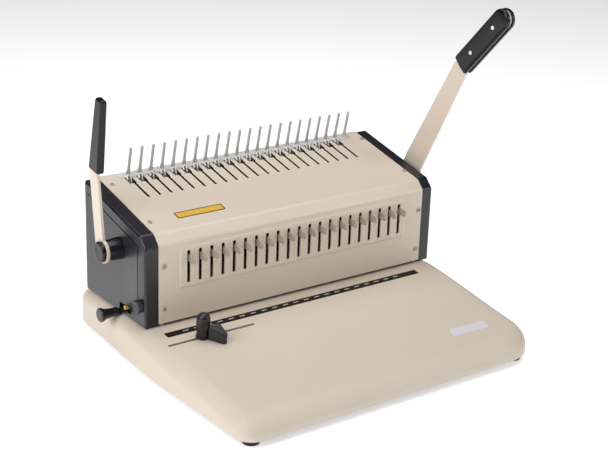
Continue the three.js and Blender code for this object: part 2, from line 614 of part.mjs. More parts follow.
// ---- punch carriage: pressure bar, 21 punches, two arms under the cams ----
const armTop = camCentre[1] - CAM_R - CAM_GAP;
const carriagePieces = [
  box(-171, 169.6, 8, 22.5, 54, 80),
  box(-177.6, 176.2, 12, 22, 58, 79),
  box(-151, -138, 12, 78, 47, armTop),
  box(138, 151, 12, 78, 47, armTop),
];
for (const k of HOLE_LIST) {
  carriagePieces.push(box(holeX(k) - PUNCH_SIZE[0] / 2, holeX(k) + PUNCH_SIZE[0] / 2,
    12.5 - PUNCH_SIZE[1] / 2, 12.5 + PUNCH_SIZE[1] / 2, 4.3, 60));
}
place("punch_carriage", cut(
  join(...carriagePieces),
  ...HOLE_LIST.map((k) => box(holeX(k) - PIN.width / 2 - 0.3, holeX(k) + PIN.width / 2 + 0.3,
    7, PIN.y[1] + 0.8, PIN.z[0] - 0.3, PIN.z[1] + 0.3)),
), "dark_steel");

// ---- pull-out pins, one per punch: pulled forward, that punch is not driven ----
const pinOutline = [];
{
  const [z0, z1] = PIN.z;
  const [y0, y1] = PIN.y;
  pinOutline.push([y1, z0], [y1, z1], [y0 + PIN.tip, z1], [y0 + 0.8, z1 - 1.6], [y0, (z0 + z1) / 2],
    [y0 + 0.8, z0 + 1.6], [y0 + PIN.tip, z0]);
}
for (const k of HOLE_LIST) {
  place(`die_pin_${String(k).padStart(2, "0")}`,
    prismX(pinOutline, holeX(k) - PIN.width / 2, holeX(k) + PIN.width / 2), "steel");
}

// ---- return springs between base and carriage arms ----
class Helix extends THREE.Curve {
  constructor(x, y, z0, z1, r, turns) {
    super();
    Object.assign(this, { x, y, z0, z1, r, turns });
  }
  getPoint(t, target = new THREE.Vector3()) {
    const a = 2 * Math.PI * this.turns * t;
    return target.set(this.x + this.r * Math.cos(a), this.y + this.r * Math.sin(a),
      this.z0 + (this.z1 - this.z0) * t);
  }
}
const wire = new THREE.Shape([0, 1, 2, 3].map((i) =>
  new THREE.Vector2(0.9 * Math.cos((i * Math.PI) / 2), 0.9 * Math.sin((i * Math.PI) / 2))));
for (const [name, x] of [["return_spring_left", -144.5], ["return_spring_right", 144.5]]) {
  place(name, new THREE.ExtrudeGeometry(wire, {
    steps: 54, bevelEnabled: false, extrudePath: new Helix(x, 56, 1.6, 45.6, 5.2, 6),
  }), "steel");
}

// ---- sheet edge guide: shoe in the table's slot, wing along the sheet, clamp knob ----
const GUIDE = [-150, GUIDE_SLOT.y];
const gv = tableV(GUIDE[1]);
const wing = [
  [-140.4, gv + 7], [-134.2, gv + 7], [-134.2, gv - 23], [-138.4, gv - 22.6],
  [-147.6, gv - 7.8], [-141.8, gv - 6],
];
const edgeGuide = cut(
  join(
    cylZ(GUIDE[0], gv, 7.2, 0.4, 2.8, 28),
    prismZ(wing, 0.4, 16.6),
    box(-146, -137, gv - 3.4, gv + 3.4, 0.4, 2.8),
    box(GUIDE[0] - 6, GUIDE[0] + 6, gv - 1, gv + 1, -5.5, 1.5),
    box(GUIDE[0] - 6.5, GUIDE[0] + 6.5, gv - 6, gv + 6, -6.4, -3.7),
  ),
  prismX([[gv + 12, 5.5], [gv - 8, 16.5], [gv - 26, 12], [gv - 26, 20], [gv + 12, 20]],
    -150, -130),
);
place("edge_guide", onTable(geometryOf(edgeGuide)), "black_plastic");
place("guide_knob", onTable(latheZ([
  [0, 3.2], [6.6, 3.2], [6.6, 10.4], [7.4, 11.2], [7.4, 22.6], [6.9, 25.2], [5.2, 27.6], [2.8, 28.8],
  [0, 29.1],
], GUIDE[0], gv, 24)), "black_plastic");

// ---- margin-depth control on the left cover: turning knob and yellow pointer ----
place("depth_knob", latheX([
  [0, -202], [6.2, -202], [7, -201.2], [7, -196], [2, -196], [2, -191], [6, -191],
  [6, -188], [2, -188], [2, -184], [0, -184],
], ...KNOB_AT, 24), "black_metal");
const pointerY = 44;
place("depth_pointer", join(
  box(-196.4, -190, pointerY - 1.8, pointerY + 1.8, POINTER_SLOT.z[0] + 1.6, POINTER_SLOT.z[1] - 1),
  box(-191.6, -188, pointerY - 5, pointerY + 5, POINTER_SLOT.z[0] - 1.6, POINTER_SLOT.z[1] + 1.6),
), "yellow_plastic");

// ---- depth lock: rod with a flared pull at the left end ----
place("depth_lock_rod", latheX([
  [0, -220], [6.8, -220], [7.9, -219.2], [7.9, -217.4], [6.3, -214], [5.2, -210], [4.9, -205],
  [4.9, -198.2], [LOCK_ROD.r, -198.2], [LOCK_ROD.r, -150], [0, -150],
], LOCK_ROD.y, LOCK_ROD.z, 24), "black_plastic");

// ---- chip tray: slides out at the back ----
place("chip_tray", cut(
  solid(box(...TRAY.x, ...TRAY.y, ...TRAY.z)),
  box(TRAY.x[0] + 2, TRAY.x[1] - 2, TRAY.y[0] + 2, TRAY.y[1] - 2.4, TRAY.z[0] + 2, TRAY.z[1] + 5),
  box(-30, 30, TRAY.y[1] - 4, TRAY.y[1] + 3, TRAY.z[1] - 7, TRAY.z[1] + 5),
), "black_plastic");

export default machine;
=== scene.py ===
"""Visual model of the comb binding machine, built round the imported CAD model."""

import math
import bmesh
import bpy
from mathutils import Matrix, Vector


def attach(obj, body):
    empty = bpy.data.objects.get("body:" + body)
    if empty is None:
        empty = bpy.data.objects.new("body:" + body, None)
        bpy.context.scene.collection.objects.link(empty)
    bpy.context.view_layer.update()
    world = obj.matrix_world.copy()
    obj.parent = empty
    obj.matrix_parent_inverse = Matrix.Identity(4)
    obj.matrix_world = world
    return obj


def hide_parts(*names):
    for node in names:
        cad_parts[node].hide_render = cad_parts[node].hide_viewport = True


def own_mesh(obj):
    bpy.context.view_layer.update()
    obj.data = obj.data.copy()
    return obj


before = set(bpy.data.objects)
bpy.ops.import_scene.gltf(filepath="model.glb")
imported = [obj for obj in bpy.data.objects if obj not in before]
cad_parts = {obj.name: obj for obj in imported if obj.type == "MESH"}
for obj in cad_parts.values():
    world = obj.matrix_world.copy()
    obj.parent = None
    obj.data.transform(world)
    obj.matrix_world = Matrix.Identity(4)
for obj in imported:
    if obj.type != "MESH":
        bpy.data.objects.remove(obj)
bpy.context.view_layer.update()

# ---- working frame: millimetres, x = 0 at the middle hole, y = 0 on the front panel,
# ---- z = 0 on the flat rear part of the base's top
SHIFT = Vector((6.2, 25.75, 47.5))
TO_FRAME = Matrix.Scale(0.001, 4) @ Matrix.Translation(SHIFT)

HOLES = 21
PITCH = 14.2875
TOP_SLOPE = 0.2217
TABLE_SLOPE = 0.1
TABLE_FOLD_Y = -2
BEND = (11.5, 102)  # (y, z) of the bend between the front panel and the top
AXIS = (56, 74.2)  # (y, z) of both lever shafts
SHEET = 1.5
PANEL_BOTTOM, PANEL_TOP = 3.2, 91.6


def hole_x(k):
    return (k - (HOLES + 1) / 2) * PITCH


def top_z(y):
    return BEND[1] + TOP_SLOPE * (y - BEND[0])


def table_z(y):
    return min(0.0, TABLE_SLOPE * (y - TABLE_FOLD_Y))


TOP_TILT = math.atan(TOP_SLOPE)
TABLE_TILT = math.atan(TABLE_SLOPE)
ON_TOP = Matrix.Translation((0, 0, top_z(0))) @ Matrix.Rotation(TOP_TILT, 4, "X")
ON_TABLE = Matrix.Translation((0, TABLE_FOLD_Y, 0)) @ Matrix.Rotation(TABLE_TILT, 4, "X")


def top_u(y):
    return y / math.cos(TOP_TILT)


def table_v(y):
    return (y - TABLE_FOLD_Y) / math.cos(TABLE_TILT)


# ---- mesh helpers, all in working millimetres ----
def shape(verts, faces, place=None):
    mesh = bpy.data.meshes.new("shape")
    mesh.from_pydata([place @ Vector(v) if place else v for v in verts], [], faces)
    bm = bmesh.new()
    bm.from_mesh(mesh)
    bmesh.ops.recalc_face_normals(bm, faces=bm.faces)
    bm.to_mesh(mesh)
    bm.free()
    return mesh


def prism(outline, lo, hi, plane="yz", place=None):
    put = {
        "yz": lambda p, h: (h, p[0], p[1]),
        "xy": lambda p, h: (p[0], p[1], h),
        "xz": lambda p, h: (p[0], h, p[1]),
    }[plane]
    n = len(outline)
    verts = [put(p, lo) for p in outline] + [put(p, hi) for p in outline]
    faces = [tuple(range(n)), tuple(range(n, 2 * n))]
    faces += [(i, (i + 1) % n, n + (i + 1) % n, n + i) for i in range(n)]
    return shape(verts, faces, place)


def box(x0, x1, y0, y1, z0, z1, place=None):
    return prism([(x0, y0), (x1, y0), (x1, y1), (x0, y1)], z0, z1, "xy", place)


def loft(rings, first_cap=None, last_cap=None, place=None):
    n = len(rings[0])
    verts = [v for ring in rings for v in ring]
    faces = []
    for r in range(len(rings) - 1):
        for i in range(n):
            j = (i + 1) % n
            faces.append((r * n + i, r * n + j, (r + 1) * n + j, (r + 1) * n + i))
    last = (len(rings) - 1) * n
    faces += [tuple(loop) for loop in (first_cap or [range(n)])]
    faces += [tuple(last + i for i in loop) for loop in (last_cap or [range(n)])]
    return shape(verts, faces, place)


def lathe(profile, centre, axis="x", n=48, place=None):
    """profile: (radius, height) pairs that start and end on the axis"""
    verts, faces, rows = [], [], []
    for r, h in profile:
        row = []
        for i in range(1 if r == 0 else n):
            a = 2 * math.pi * i / n
            p, q = centre[0] + r * math.cos(a), centre[1] + r * math.sin(a)
            row.append(len(verts))
            verts.append((h, p, q) if axis == "x" else (p, q, h))
        rows.append(row)
    for a, b in zip(rows, rows[1:]):
        for i in range(n):
            j = (i + 1) % n
            if len(a) == 1 and len(b) > 1:
                faces.append((a[0], b[i], b[j]))
            elif len(b) == 1 and len(a) > 1:
                faces.append((a[i], a[j], b[0]))
            elif len(a) > 1:
                faces.append((a[i], a[j], b[j], b[i]))
    return shape(verts, faces, place)


def cylinder(centre, r, lo, hi, axis="x", n=48, place=None):
    return lathe([(0, lo), (r, lo), (r, hi), (0, hi)], centre, axis, n, place)


def together(meshes):
    bm = bmesh.new()
    for mesh in meshes:
        bm.from_mesh(mesh)
    out = bpy.data.meshes.new("together")
    bm.to_mesh(out)
    bm.free()
    return out


def boolean(mesh, tools, operation="DIFFERENCE", crossing=False):
    """crossing: the tools cut through one another"""
    scene = bpy.context.scene
    base = bpy.data.objects.new("base", mesh)
    tool = bpy.data.objects.new("tool", together(tools))
    for o in (base, tool):
        scene.collection.objects.link(o)
    modifier = base.modifiers.new("boolean", "BOOLEAN")
    modifier.object = tool
    modifier.operation = operation
    modifier.solver = "EXACT"
    modifier.use_self = crossing
    bpy.context.view_layer.update()
    shown = base.evaluated_get(bpy.context.evaluated_depsgraph_get())
    out = bpy.data.meshes.new_from_object(shown)
    for o in (base, tool):
        bpy.data.objects.remove(o)
    return out


def cut(mesh, *tools, crossing=False):
    return boolean(mesh, tools, "DIFFERENCE", crossing)


def union(*meshes):
    return boolean(meshes[0], meshes[1:], "UNION", True)


def rounded(outline, radius, steps=6, closed=True):
    """corners replaced by arcs; radius is one number or one per corner"""
    n = len(outline)
    out = []
    for i, p in enumerate(outline):
        r = radius[i] if isinstance(radius, (list, tuple)) else radius
        p = Vector(p)
        if r == 0 or (not closed and i in (0, n - 1)):
            out.append(tuple(p))
            continue
        a = (Vector(outline[i - 1]) - p).normalized()
        b = (Vector(outline[(i + 1) % n]) - p).normalized()
        half = a.angle(b) / 2
        reach = r / math.tan(half)
        middle = p + (a + b).normalized() * (r / math.sin(half))
        s, e = p + a * reach - middle, p + b * reach - middle
        sweep = s.angle_signed(e)
        for k in range(steps + 1):
            t = -sweep * k / steps
            c, d = math.cos(t), math.sin(t)
            out.append((middle.x + s.x * c - s.y * d, middle.y + s.x * d + s.y * c))
    return out


def offset_path(points, distance):
    """open path moved sideways, to the right of its direction"""
    out = []
    for i, p in enumerate(points):
        a = Vector(points[max(i - 1, 0)])
        b = Vector(points[min(i + 1, len(points) - 1)])
        before = (Vector(p) - a).normalized() if i else None
        after = (b - Vector(p)).normalized() if i < len(points) - 1 else None
        before, after = before or after, after or before
        n1 = Vector((before.y, -before.x))
        n2 = Vector((after.y, -after.x))
        m = (n1 + n2).normalized()
        out.append(tuple(Vector(p) + m * (distance / max(0.3, m.dot(n1)))))
    return out


def piece(name, mesh, body, material, replaces=(), bevel=0.3, segments=2, angle=32,
          second=None):
    mesh.transform(TO_FRAME)
    return dress(name, mesh, body, material, replaces, bevel, segments, angle, second)


def dress(name, mesh, body, material, replaces, bevel, segments, angle, second=None):
    """second: another material and the test, in working millimetres, of the faces that get it"""
    mesh.name = name
    obj = bpy.data.objects.new(name, mesh)
    bpy.context.scene.collection.objects.link(obj)
    mesh.materials.clear()
    mesh.materials.append(material)
    for face in mesh.polygons:
        face.material_index = 0
    if second:
        mesh.materials.append(second[0])
        back = TO_FRAME.inverted()
        for face in mesh.polygons:
            if second[1](back @ face.center, face.normal):
                face.material_index = 1
    mesh.shade_smooth()
    if bevel:
        edge = obj.modifiers.new("edges", "BEVEL")
        edge.width = bevel * 0.001
        edge.segments = segments
        edge.limit_method = "ANGLE"
        edge.angle_limit = math.radians(angle)
        edge.harden_normals = True
        edge.use_clamp_overlap = True
    else:
        mesh.set_sharp_from_angle(angle=math.radians(angle))
    weighted = obj.modifiers.new("normals", "WEIGHTED_NORMAL")
    weighted.keep_sharp = True
    if replaces:
        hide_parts(*replaces)
    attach(obj, body)
    return obj


def refined(node, body, material, bevel=0.3, segments=2, angle=32, second=None):
    """a CAD shape with its triangles dissolved into faces and its edges rounded"""
    bm = bmesh.new()
    bm.from_mesh(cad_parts[node].data)
    bmesh.ops.remove_doubles(bm, verts=bm.verts, dist=1e-6)
    bmesh.ops.dissolve_limit(
        bm, angle_limit=math.radians(1), verts=bm.verts, edges=bm.edges
    )
    mesh = bpy.data.meshes.new(node)
    bm.to_mesh(mesh)
    bm.free()
    return dress(node + "_body", mesh, body, material, [node], bevel, segments, angle,
                 second)


# ---- materials ----
def linear(r, g, b):
    return tuple(
        ((v / 255 + 0.055) / 1.055) ** 2.4 if v > 10 else v / 255 / 12.92 for v in (r, g, b)
    )


def surface(name, colour, rough, metal=0.0, tint=0.03, tint_scale=9.0, rough_swing=0.05,
            grain=1400.0, bump=0.08, stretch=(1, 1, 1), wear=None, coat=0.0, specular=0.5):
    """one principled surface: slow colour drift, fine grain in bump and gloss, rubbed edges"""
    material = bpy.data.materials.new(name)
    material.use_nodes = True
    tree = material.node_tree
    shader = tree.nodes["Principled BSDF"]
    shader.inputs["Metallic"].default_value = metal
    shader.inputs["Coat Weight"].default_value = coat
    shader.inputs["Coat Roughness"].default_value = 0.12
    shader.inputs["Specular IOR Level"].default_value = specular

    def node(kind, **inputs):
        n = tree.nodes.new(kind)
        for key, value in inputs.items():
            n.inputs[key.replace("_", " ")].default_value = value
        return n

    coord = node("ShaderNodeTexCoord")
    mapping = node("ShaderNodeMapping", Scale=stretch)
    tree.links.new(coord.outputs["Object"], mapping.inputs["Vector"])

    drift = node("ShaderNodeTexNoise", Scale=tint_scale, Detail=4.0, Roughness=0.55)
    tree.links.new(coord.outputs["Object"], drift.inputs["Vector"])
    tones = tree.nodes.new("ShaderNodeValToRGB")
    base = linear(*colour)
    low, high = tones.color_ramp.elements
    low.position, high.position = 0.3, 0.7
    low.color = (*[c * (1 - tint) for c in base], 1)
    high.color = (*[min(1, c * (1 + tint)) for c in base], 1)
    tree.links.new(drift.outputs["Fac"], tones.inputs["Fac"])
    out = tones.outputs["Color"]
    if wear:
        shade, amount = wear
        geometry = node("ShaderNodeNewGeometry")
        edge = node("ShaderNodeMapRange", From_Min=0.52, From_Max=0.6, To_Min=0.0, To_Max=amount)
        rub = node("ShaderNodeTexNoise", Scale=160.0, Detail=3.0)
        tree.links.new(coord.outputs["Object"], rub.inputs["Vector"])
        tree.links.new(geometry.outputs["Pointiness"], edge.inputs["Value"])
        both = tree.nodes.new("ShaderNodeMath")
        both.operation = "MULTIPLY"
        tree.links.new(edge.outputs["Result"], both.inputs[0])
        tree.links.new(rub.outputs["Fac"], both.inputs[1])
        mix = tree.nodes.new("ShaderNodeMix")
        mix.data_type = "RGBA"
        mix.inputs["B"].default_value = (*linear(*shade), 1)
        tree.links.new(both.outputs["Value"], mix.inputs["Factor"])
        tree.links.new(out, mix.inputs["A"])
        out = mix.outputs["Result"]
    tree.links.new(out, shader.inputs["Base Color"])

    fine = node("ShaderNodeTexNoise", Scale=grain, Detail=2.0, Roughness=0.5)
    tree.links.new(mapping.outputs["Vector"], fine.inputs["Vector"])
    gloss = node("ShaderNodeMapRange", From_Min=0.3, From_Max=0.7,
                 To_Min=max(0.03, rough - rough_swing), To_Max=rough + rough_swing)
    tree.links.new(fine.outputs["Fac"], gloss.inputs["Value"])
    tree.links.new(gloss.outputs["Result"], shader.inputs["Roughness"])
    relief = node("ShaderNodeBump", Strength=bump, Distance=0.0004)
    tree.links.new(fine.outputs["Fac"], relief.inputs["Height"])
    tree.links.new(relief.outputs["Normal"], shader.inputs["Normal"])
    return material


BEIGE = surface("beige_plastic", (210, 197, 182), 0.5, tint=0.015, grain=1800, bump=0.1)
PAINT = surface("beige_paint", (218, 204, 188), 0.4, tint=0.015, grain=900, bump=0.06,
                coat=0.15)
BLACK = surface("black_plastic", (26, 25, 32), 0.3, tint=0.08, grain=1600, bump=0.05,
                wear=((110, 108, 112), 0.35), coat=0.08, specular=0.45)
GLOSS = surface("black_gloss", (15, 14, 19), 0.22, tint=0.08, grain=500, bump=0.03,
                rough_swing=0.03, wear=((120, 118, 122), 0.25), specular=0.35)
BLACK_METAL = surface("black_metal", (34, 33, 36), 0.36, tint=0.08, grain=1200, bump=0.05,
                      wear=((130, 130, 132), 0.5))
RUBBER = surface("rubber", (26, 25, 26), 0.78, tint=0.15, grain=2200, bump=0.22)
STEEL = surface("steel", (176, 173, 166), 0.3, metal=1.0, tint=0.06, tint_scale=60,
                grain=500, bump=0.05, stretch=(1, 1, 8), rough_swing=0.1)
ZINC = surface("zinc", (232, 232, 231), 0.36, metal=0.3, tint=0.05, tint_scale=90,
               grain=420, bump=0.04, stretch=(1, 8, 8), rough_swing=0.1)
# darker grey copy of the comb's steel for the upright prongs: painted shade
PRONG_SHADE = surface("prong_steel_shaded", (196, 197, 199), 0.32, metal=0.3, tint=0.05, grain=500,
                bump=0.04, stretch=(8, 8, 1))
NICKEL = surface("nickel", (178, 172, 158), 0.3, metal=0.35, tint=0.04, grain=600, bump=0.02)
DARK = surface("dark_steel", (74, 73, 72), 0.5, metal=0.6, tint=0.1, grain=900, bump=0.08)
# near-black material for interior parts and hidden faces: painted shade, not a finish of the parts
INSIDE_SHADE = surface("painted_interior_shade", (13, 12, 12), 0.6, tint=0.1, grain=900, bump=0.06,
                 specular=0.25)
BRIGHT = surface("bright_steel", (238, 237, 234), 0.3, metal=0.25, tint=0.03, grain=700,
                 bump=0.03)
BRASS = surface("brass", (178, 141, 74), 0.28, metal=1.0, tint=0.06, grain=700, bump=0.04,
                stretch=(8, 1, 1))
YELLOW = surface("yellow_plastic", (222, 178, 62), 0.42, tint=0.04, grain=1500, bump=0.05)
STRIP = surface("strip_black", (10, 8, 8), 0.4, tint=0.1, grain=1200, bump=0.04, specular=0.2)
PRINT = surface("white_print", (214, 210, 206), 0.5, tint=0.05, grain=1500, bump=0.04)
LILAC = surface("pale_label", (218, 213, 222), 0.4, tint=0.02, grain=1500, bump=0.03)
LABEL_EDGE = surface("label_edge", (48, 36, 20), 0.45, tint=0.08, grain=1500, bump=0.03)

# ---- base ----
LEFT_FRONT, LEFT_BACK, RIGHT = -203.8, -199.5, 192.15
FRONT, BACK, BOTTOM = -202.2, 150.7, -39.5
BULGE_LEFT, BULGE_RIGHT = 6.1, 7.2
CORNER_LEFT, CORNER_RIGHT, CORNER_REAR, CORNER_LEAST = 19.5, 50.6, 20, 1.2
ROUND_HEIGHT, ROUND_SIDE, ROUND_FRONT = 15.5, 18, 26
WALL = 3.2
ARC_STEPS = 14
SIDE_STATIONS = [-145, -125, -105, -85, -65, -45, -25, TABLE_FOLD_Y, 15, 30, 45, 60, 75, 90, 110]


def base_stations():
    """points round the outline: place of the edge or corner, outward direction, corner radius"""
    stations = []

    def corner(x, y, way, r, start):
        for i in range(ARC_STEPS + 1):
            a = math.radians(start + 90 * i / ARC_STEPS)
            stations.append(((x, y), (math.cos(a), math.sin(a)), r, way))

    def side(edge, sign, swell, y0, y1, ys):
        for y in ys:
            t = 2 * (y - y0) / (y1 - y0) - 1
            stations.append(((edge(y) + sign * swell * (1 - t * t) ** 2, y), (sign, 0), 0, None))

    def left_edge(y):
        return LEFT_FRONT + (LEFT_BACK - LEFT_FRONT) * (y - FRONT) / (BACK - FRONT)

    corner(RIGHT, FRONT, (-1, 1), CORNER_RIGHT, -90)
    side(lambda y: RIGHT, 1, BULGE_RIGHT, FRONT + CORNER_RIGHT, BACK - CORNER_REAR,
         SIDE_STATIONS)
    corner(RIGHT, BACK, (-1, -1), CORNER_REAR, 0)
    corner(LEFT_BACK, BACK, (1, -1), CORNER_REAR, 90)
    side(left_edge, -1, BULGE_LEFT, FRONT + CORNER_LEFT, BACK - CORNER_REAR,
         SIDE_STATIONS[::-1])
    corner(LEFT_FRONT, FRONT, (1, 1), CORNER_LEFT, 180)
    return stations


STATIONS = base_stations()


def base_ring(skin, turn):
    """turn: 0 at the foot of the rounded top edge, 1 where it meets the table"""
    s = 1 - math.cos(math.pi / 2 * turn)
    down = skin + (ROUND_HEIGHT - skin) * (1 - math.sin(math.pi / 2 * turn))
    ring = []
    for at, d, r, way in STATIONS:
        in_x = skin + (ROUND_SIDE - skin) * s
        in_y = skin + ((ROUND_FRONT if d[1] < 0 else ROUND_SIDE) - skin) * s
        if r == 0:
            x, y = at[0] - d[0] * in_x, at[1]
        else:
            rx, ry = max(r - in_x, CORNER_LEAST), max(r - in_y, CORNER_LEAST)
            x = at[0] + way[0] * (in_x + rx) + d[0] * rx
            y = at[1] + way[1] * (in_y + ry) + d[1] * ry
        ring.append((x, y, table_z(y) - down))
    return ring


def base_body(skin, bottom, steps):
    rings = [[(x, y, bottom) for x, y, _ in base_ring(skin, 0)]]
    rings += [base_ring(skin, i / steps) for i in range(steps + 1)]
    fold = [i for i, s in enumerate(STATIONS) if s[2] == 0 and s[0][1] == TABLE_FOLD_Y]
    n = len(STATIONS)
    rear = list(range(fold[0], fold[1] + 1))
    front = [i % n for i in range(fold[1], fold[0] + n + 1)]
    return loft(rings, None, [rear, front])


GUIDE_Y = -38.6
GUIDE_SLOT_X, GUIDE_SLOT_Y = (-191, -84), (GUIDE_Y - 1.8, GUIDE_Y + 1.8)
STRIP_X, STRIP_Y = (-182, 159.6), (-23, -14.4)
STRIP_GAP = 0.4
DIE_OPENING = (-168.6, 168.6, 4.4, 26.6)
TRAY_OPENING = (-151.2, 151.2, 138, 160, -36.3, -11.3)
ROD = (57, 1.4)  # (y, z) of the depth lock rod
ROD_R = 3


def rectangle(x, y):
    return [(x[0], y[0]), (x[1], y[0]), (x[1], y[1]), (x[0], y[1])]


shell = cut(
    base_body(0, BOTTOM, 12),
    base_body(WALL, BOTTOM - 5, 5),
)
shell = cut(
    shell,
    box(*DIE_OPENING, -10, 5),
    prism(rounded(rectangle(GUIDE_SLOT_X, [table_v(y) for y in GUIDE_SLOT_Y]), 1.2, 4),
          -8, 5, "xy", ON_TABLE),
    box(STRIP_X[0] - STRIP_GAP, STRIP_X[1] + STRIP_GAP, table_v(STRIP_Y[0] - STRIP_GAP),
        table_v(STRIP_Y[1] + STRIP_GAP), -1.2, 5, ON_TABLE),
    box(*TRAY_OPENING),
    cylinder(ROD, ROD_R + 0.6, -230, -120),
)
piece("base_shell_body", shell, "machine", BEIGE, ["base_shell"], 0.35, 2, 42)
refined("base_floor", "machine", DARK, 0.3)

FOOT_GAP = 0.3
FEET = {
    "foot_front_left": (-186.6, -186),
    "foot_front_right": (161.4, -184),
    "foot_rear_left": (-180, 130),
    "foot_rear_right": (172, 130),
}
for name, at in FEET.items():
    z = BOTTOM - FOOT_GAP
    collar = lathe([(0, z - 2.6), (8.7, z - 2.6), (9, z - 2.3), (9, z - 0.3), (8.7, z), (0, z)],
                   at, "z", 56)
    piece(name + "_collar", collar, "machine", BEIGE, [name], 0)
    pad = lathe([(0, z - 6.6), (3.2, z - 6.6), (3.6, z - 7.7), (7.8, z - 7.7), (8.6, z - 7.2),
                 (8.9, z - 6.4), (8.9, z - 3.2), (8.5, z - 2.7), (0, z - 2.7)], at, "z", 56)
    piece(name + "_pad", pad, "machine", RUBBER, [name], 0)

# ---- inside ----
for node in ("frame_left", "frame_right"):
    refined(node, "machine", ZINC, 0.25)
for node in ("bush_left", "bush_right"):
    refined(node, "machine", BRASS, 0.25)
for node in ("punch_guide", "die_plate"):
    refined(node, "machine", STEEL, 0.2)

# ---- front and top cover ----
COVER_X = (-179.2, 177.8)
COMB_X = (-157.4, 161.4)
BODY_BACK = 133
COMB_GAP_Y = 121.3
HOOK_DX = -3.2
PRONG_DX = -2
RAISED_X, RAISED_Z = (-155.4, 153.4), (37.3, 86)
RAISED_HEIGHT, RAISED_RISE = 1.0, 3.4
FRONT_SLOT_DX, FRONT_SLOT_Z = (-2.7, 1.25), (44, 80.2)
TOP_SLOT_HALF, TOP_SLOT_Y = 1.3, (77.5, 110)
NOTCH_DX, NOTCH_Y = (-5.9, 2.6), (108.5, 124)
SCRIBED_X, SCRIBED_Y, SCRIBED_DEPTH = (157.1, 157.5), (59.6, 118), 0.35
outer = rounded([(0, PANEL_BOTTOM), (0, PANEL_TOP), (9.4, top_z(9.4)),
                 (BODY_BACK, top_z(BODY_BACK))], [0, 7, 8, 0], 8, closed=False)
inner = offset_path(outer, SHEET)
cover = prism(outer + inner[::-1], *COVER_X)


def pillow(x, z, height, rise, steps=5):
    """raised panel whose edge climbs in a soft S over the distance rise"""
    rings = []
    for i in range(steps + 1):
        t = i / steps
        d = rise * t
        rim = rounded([(x[0] + d, z[0] + d), (x[1] - d, z[0] + d), (x[1] - d, z[1] - d),
                       (x[0] + d, z[1] - d)], max(1.0, 4 - d), 5)
        y = -height * (3 * t * t - 2 * t * t * t)
        rings.append([(a, y, b) for a, b in rim])
    back = [(a, 0.6, b) for a, _, b in rings[0]]
    return loft([back, *rings])


cover = union(cover, pillow(RAISED_X, RAISED_Z, RAISED_HEIGHT, RAISED_RISE))
rim = RAISED_RISE + 0.1
cover = cut(cover, box(RAISED_X[0] + rim, RAISED_X[1] - rim, 0.5, 3, RAISED_Z[0] + rim,
                       RAISED_Z[1] - rim))
front_slots = []
for k in range(1, HOLES + 1):
    slot = rectangle([hole_x(k) + dx for dx in FRONT_SLOT_DX], FRONT_SLOT_Z)
    front_slots.append(prism(rounded(slot, 0.7, 3), -4, 4, "xz"))
cover = cut(cover, *front_slots)
top_cuts = [box(COMB_X[0], COMB_X[1], COMB_GAP_Y, 140, 100, 140)]
for k in range(1, HOLES + 1):
    x = hole_x(k) + HOOK_DX
    top_cuts.append(box(x - TOP_SLOT_HALF, x + TOP_SLOT_HALF, *map(top_u, TOP_SLOT_Y), -5, 5,
                        ON_TOP))
    top_cuts.append(box(x + NOTCH_DX[0], x + NOTCH_DX[1], *map(top_u, NOTCH_Y), -5, 5, ON_TOP))
cover = cut(cover, *top_cuts, crossing=True)
cover = cut(cover, box(*SCRIBED_X, *map(top_u, SCRIBED_Y), -SCRIBED_DEPTH, 2, ON_TOP))


def slot_shade_faces(at, normal):
    """walls of the slots, the downward faces and the inside of the sheet, which get the near-black
    interior material as painted shade
    """
    depth = at.y if at.z < BEND[1] - 6 else (top_z(at.y) - at.z)
    inside = COVER_X[0] + 1 < at.x < COVER_X[1] - 1
    wall = abs(normal.x) > 0.9 and depth > 0.25
    return inside and (wall or normal.z < -0.5 or normal.y > 0.5)


# the slot walls, lower edges and inside of the sheet are painted near-black as shade
piece("front_cover_sheet", cover, "machine", PAINT, ["front_cover"], 0.15, 2, 40,
      (INSIDE_SHADE, slot_shade_faces))
refined("rear_panel", "machine", PAINT, 0.3)

# ---- end covers ----
END = [(1.2, 0.4), (1.2, 90.6), (11.9, 101.8), (132.6, top_z(132.6) - 0.3), (132.6, 0.4)]
END_ROUND = [1.5, 5, 6, 2, 1.5]
END_ROLL = 2.8
LEFT_X, RIGHT_X = (-179.6, -195.6), (178.2, 194.2)  # inner and outer face
POINTER_WINDOW_Y, POINTER_WINDOW_Z = (31, 56), (6.2, 13)
GROOVE_DOWN, GROOVE_WIDTH = 13.4, 1.3


def inset(outline, d):
    """closed outline, clockwise in (y, z), moved inwards"""
    n = len(outline)
    out = []
    for i in range(n):
        a, p, b = Vector(outline[i - 1]), Vector(outline[i]), Vector(outline[(i + 1) % n])
        e1, e2 = (p - a).normalized(), (b - p).normalized()
        n1, n2 = Vector((e1.y, -e1.x)), Vector((e2.y, -e2.x))
        m = (n1 + n2).normalized()
        out.append(tuple(p + m * (d / m.dot(n1))))
    return out


def end_cover(inside, outside):
    way = 1 if outside > inside else -1
    rings = []
    for x, d in [(inside, 0.0)] + [
        (outside - way * END_ROLL * (1 - math.sin(a)), END_ROLL * (1 - math.cos(a)))
        for a in [math.pi / 2 * i / 6 for i in range(7)]
    ]:
        radii = [max(0.4, r - d) for r in END_ROUND]
        rings.append([(x, y, z) for y, z in rounded(inset(END, d), radii, 6)])
    hollow = prism(inset(END, 3.2), *sorted((inside - 2 * way, outside - 3.6 * way)))
    return cut(loft(rings), hollow)


KNOB_AT = (11, 24)  # (y, z) of the depth knob


def groove_z(y):
    return top_z(y) - GROOVE_DOWN


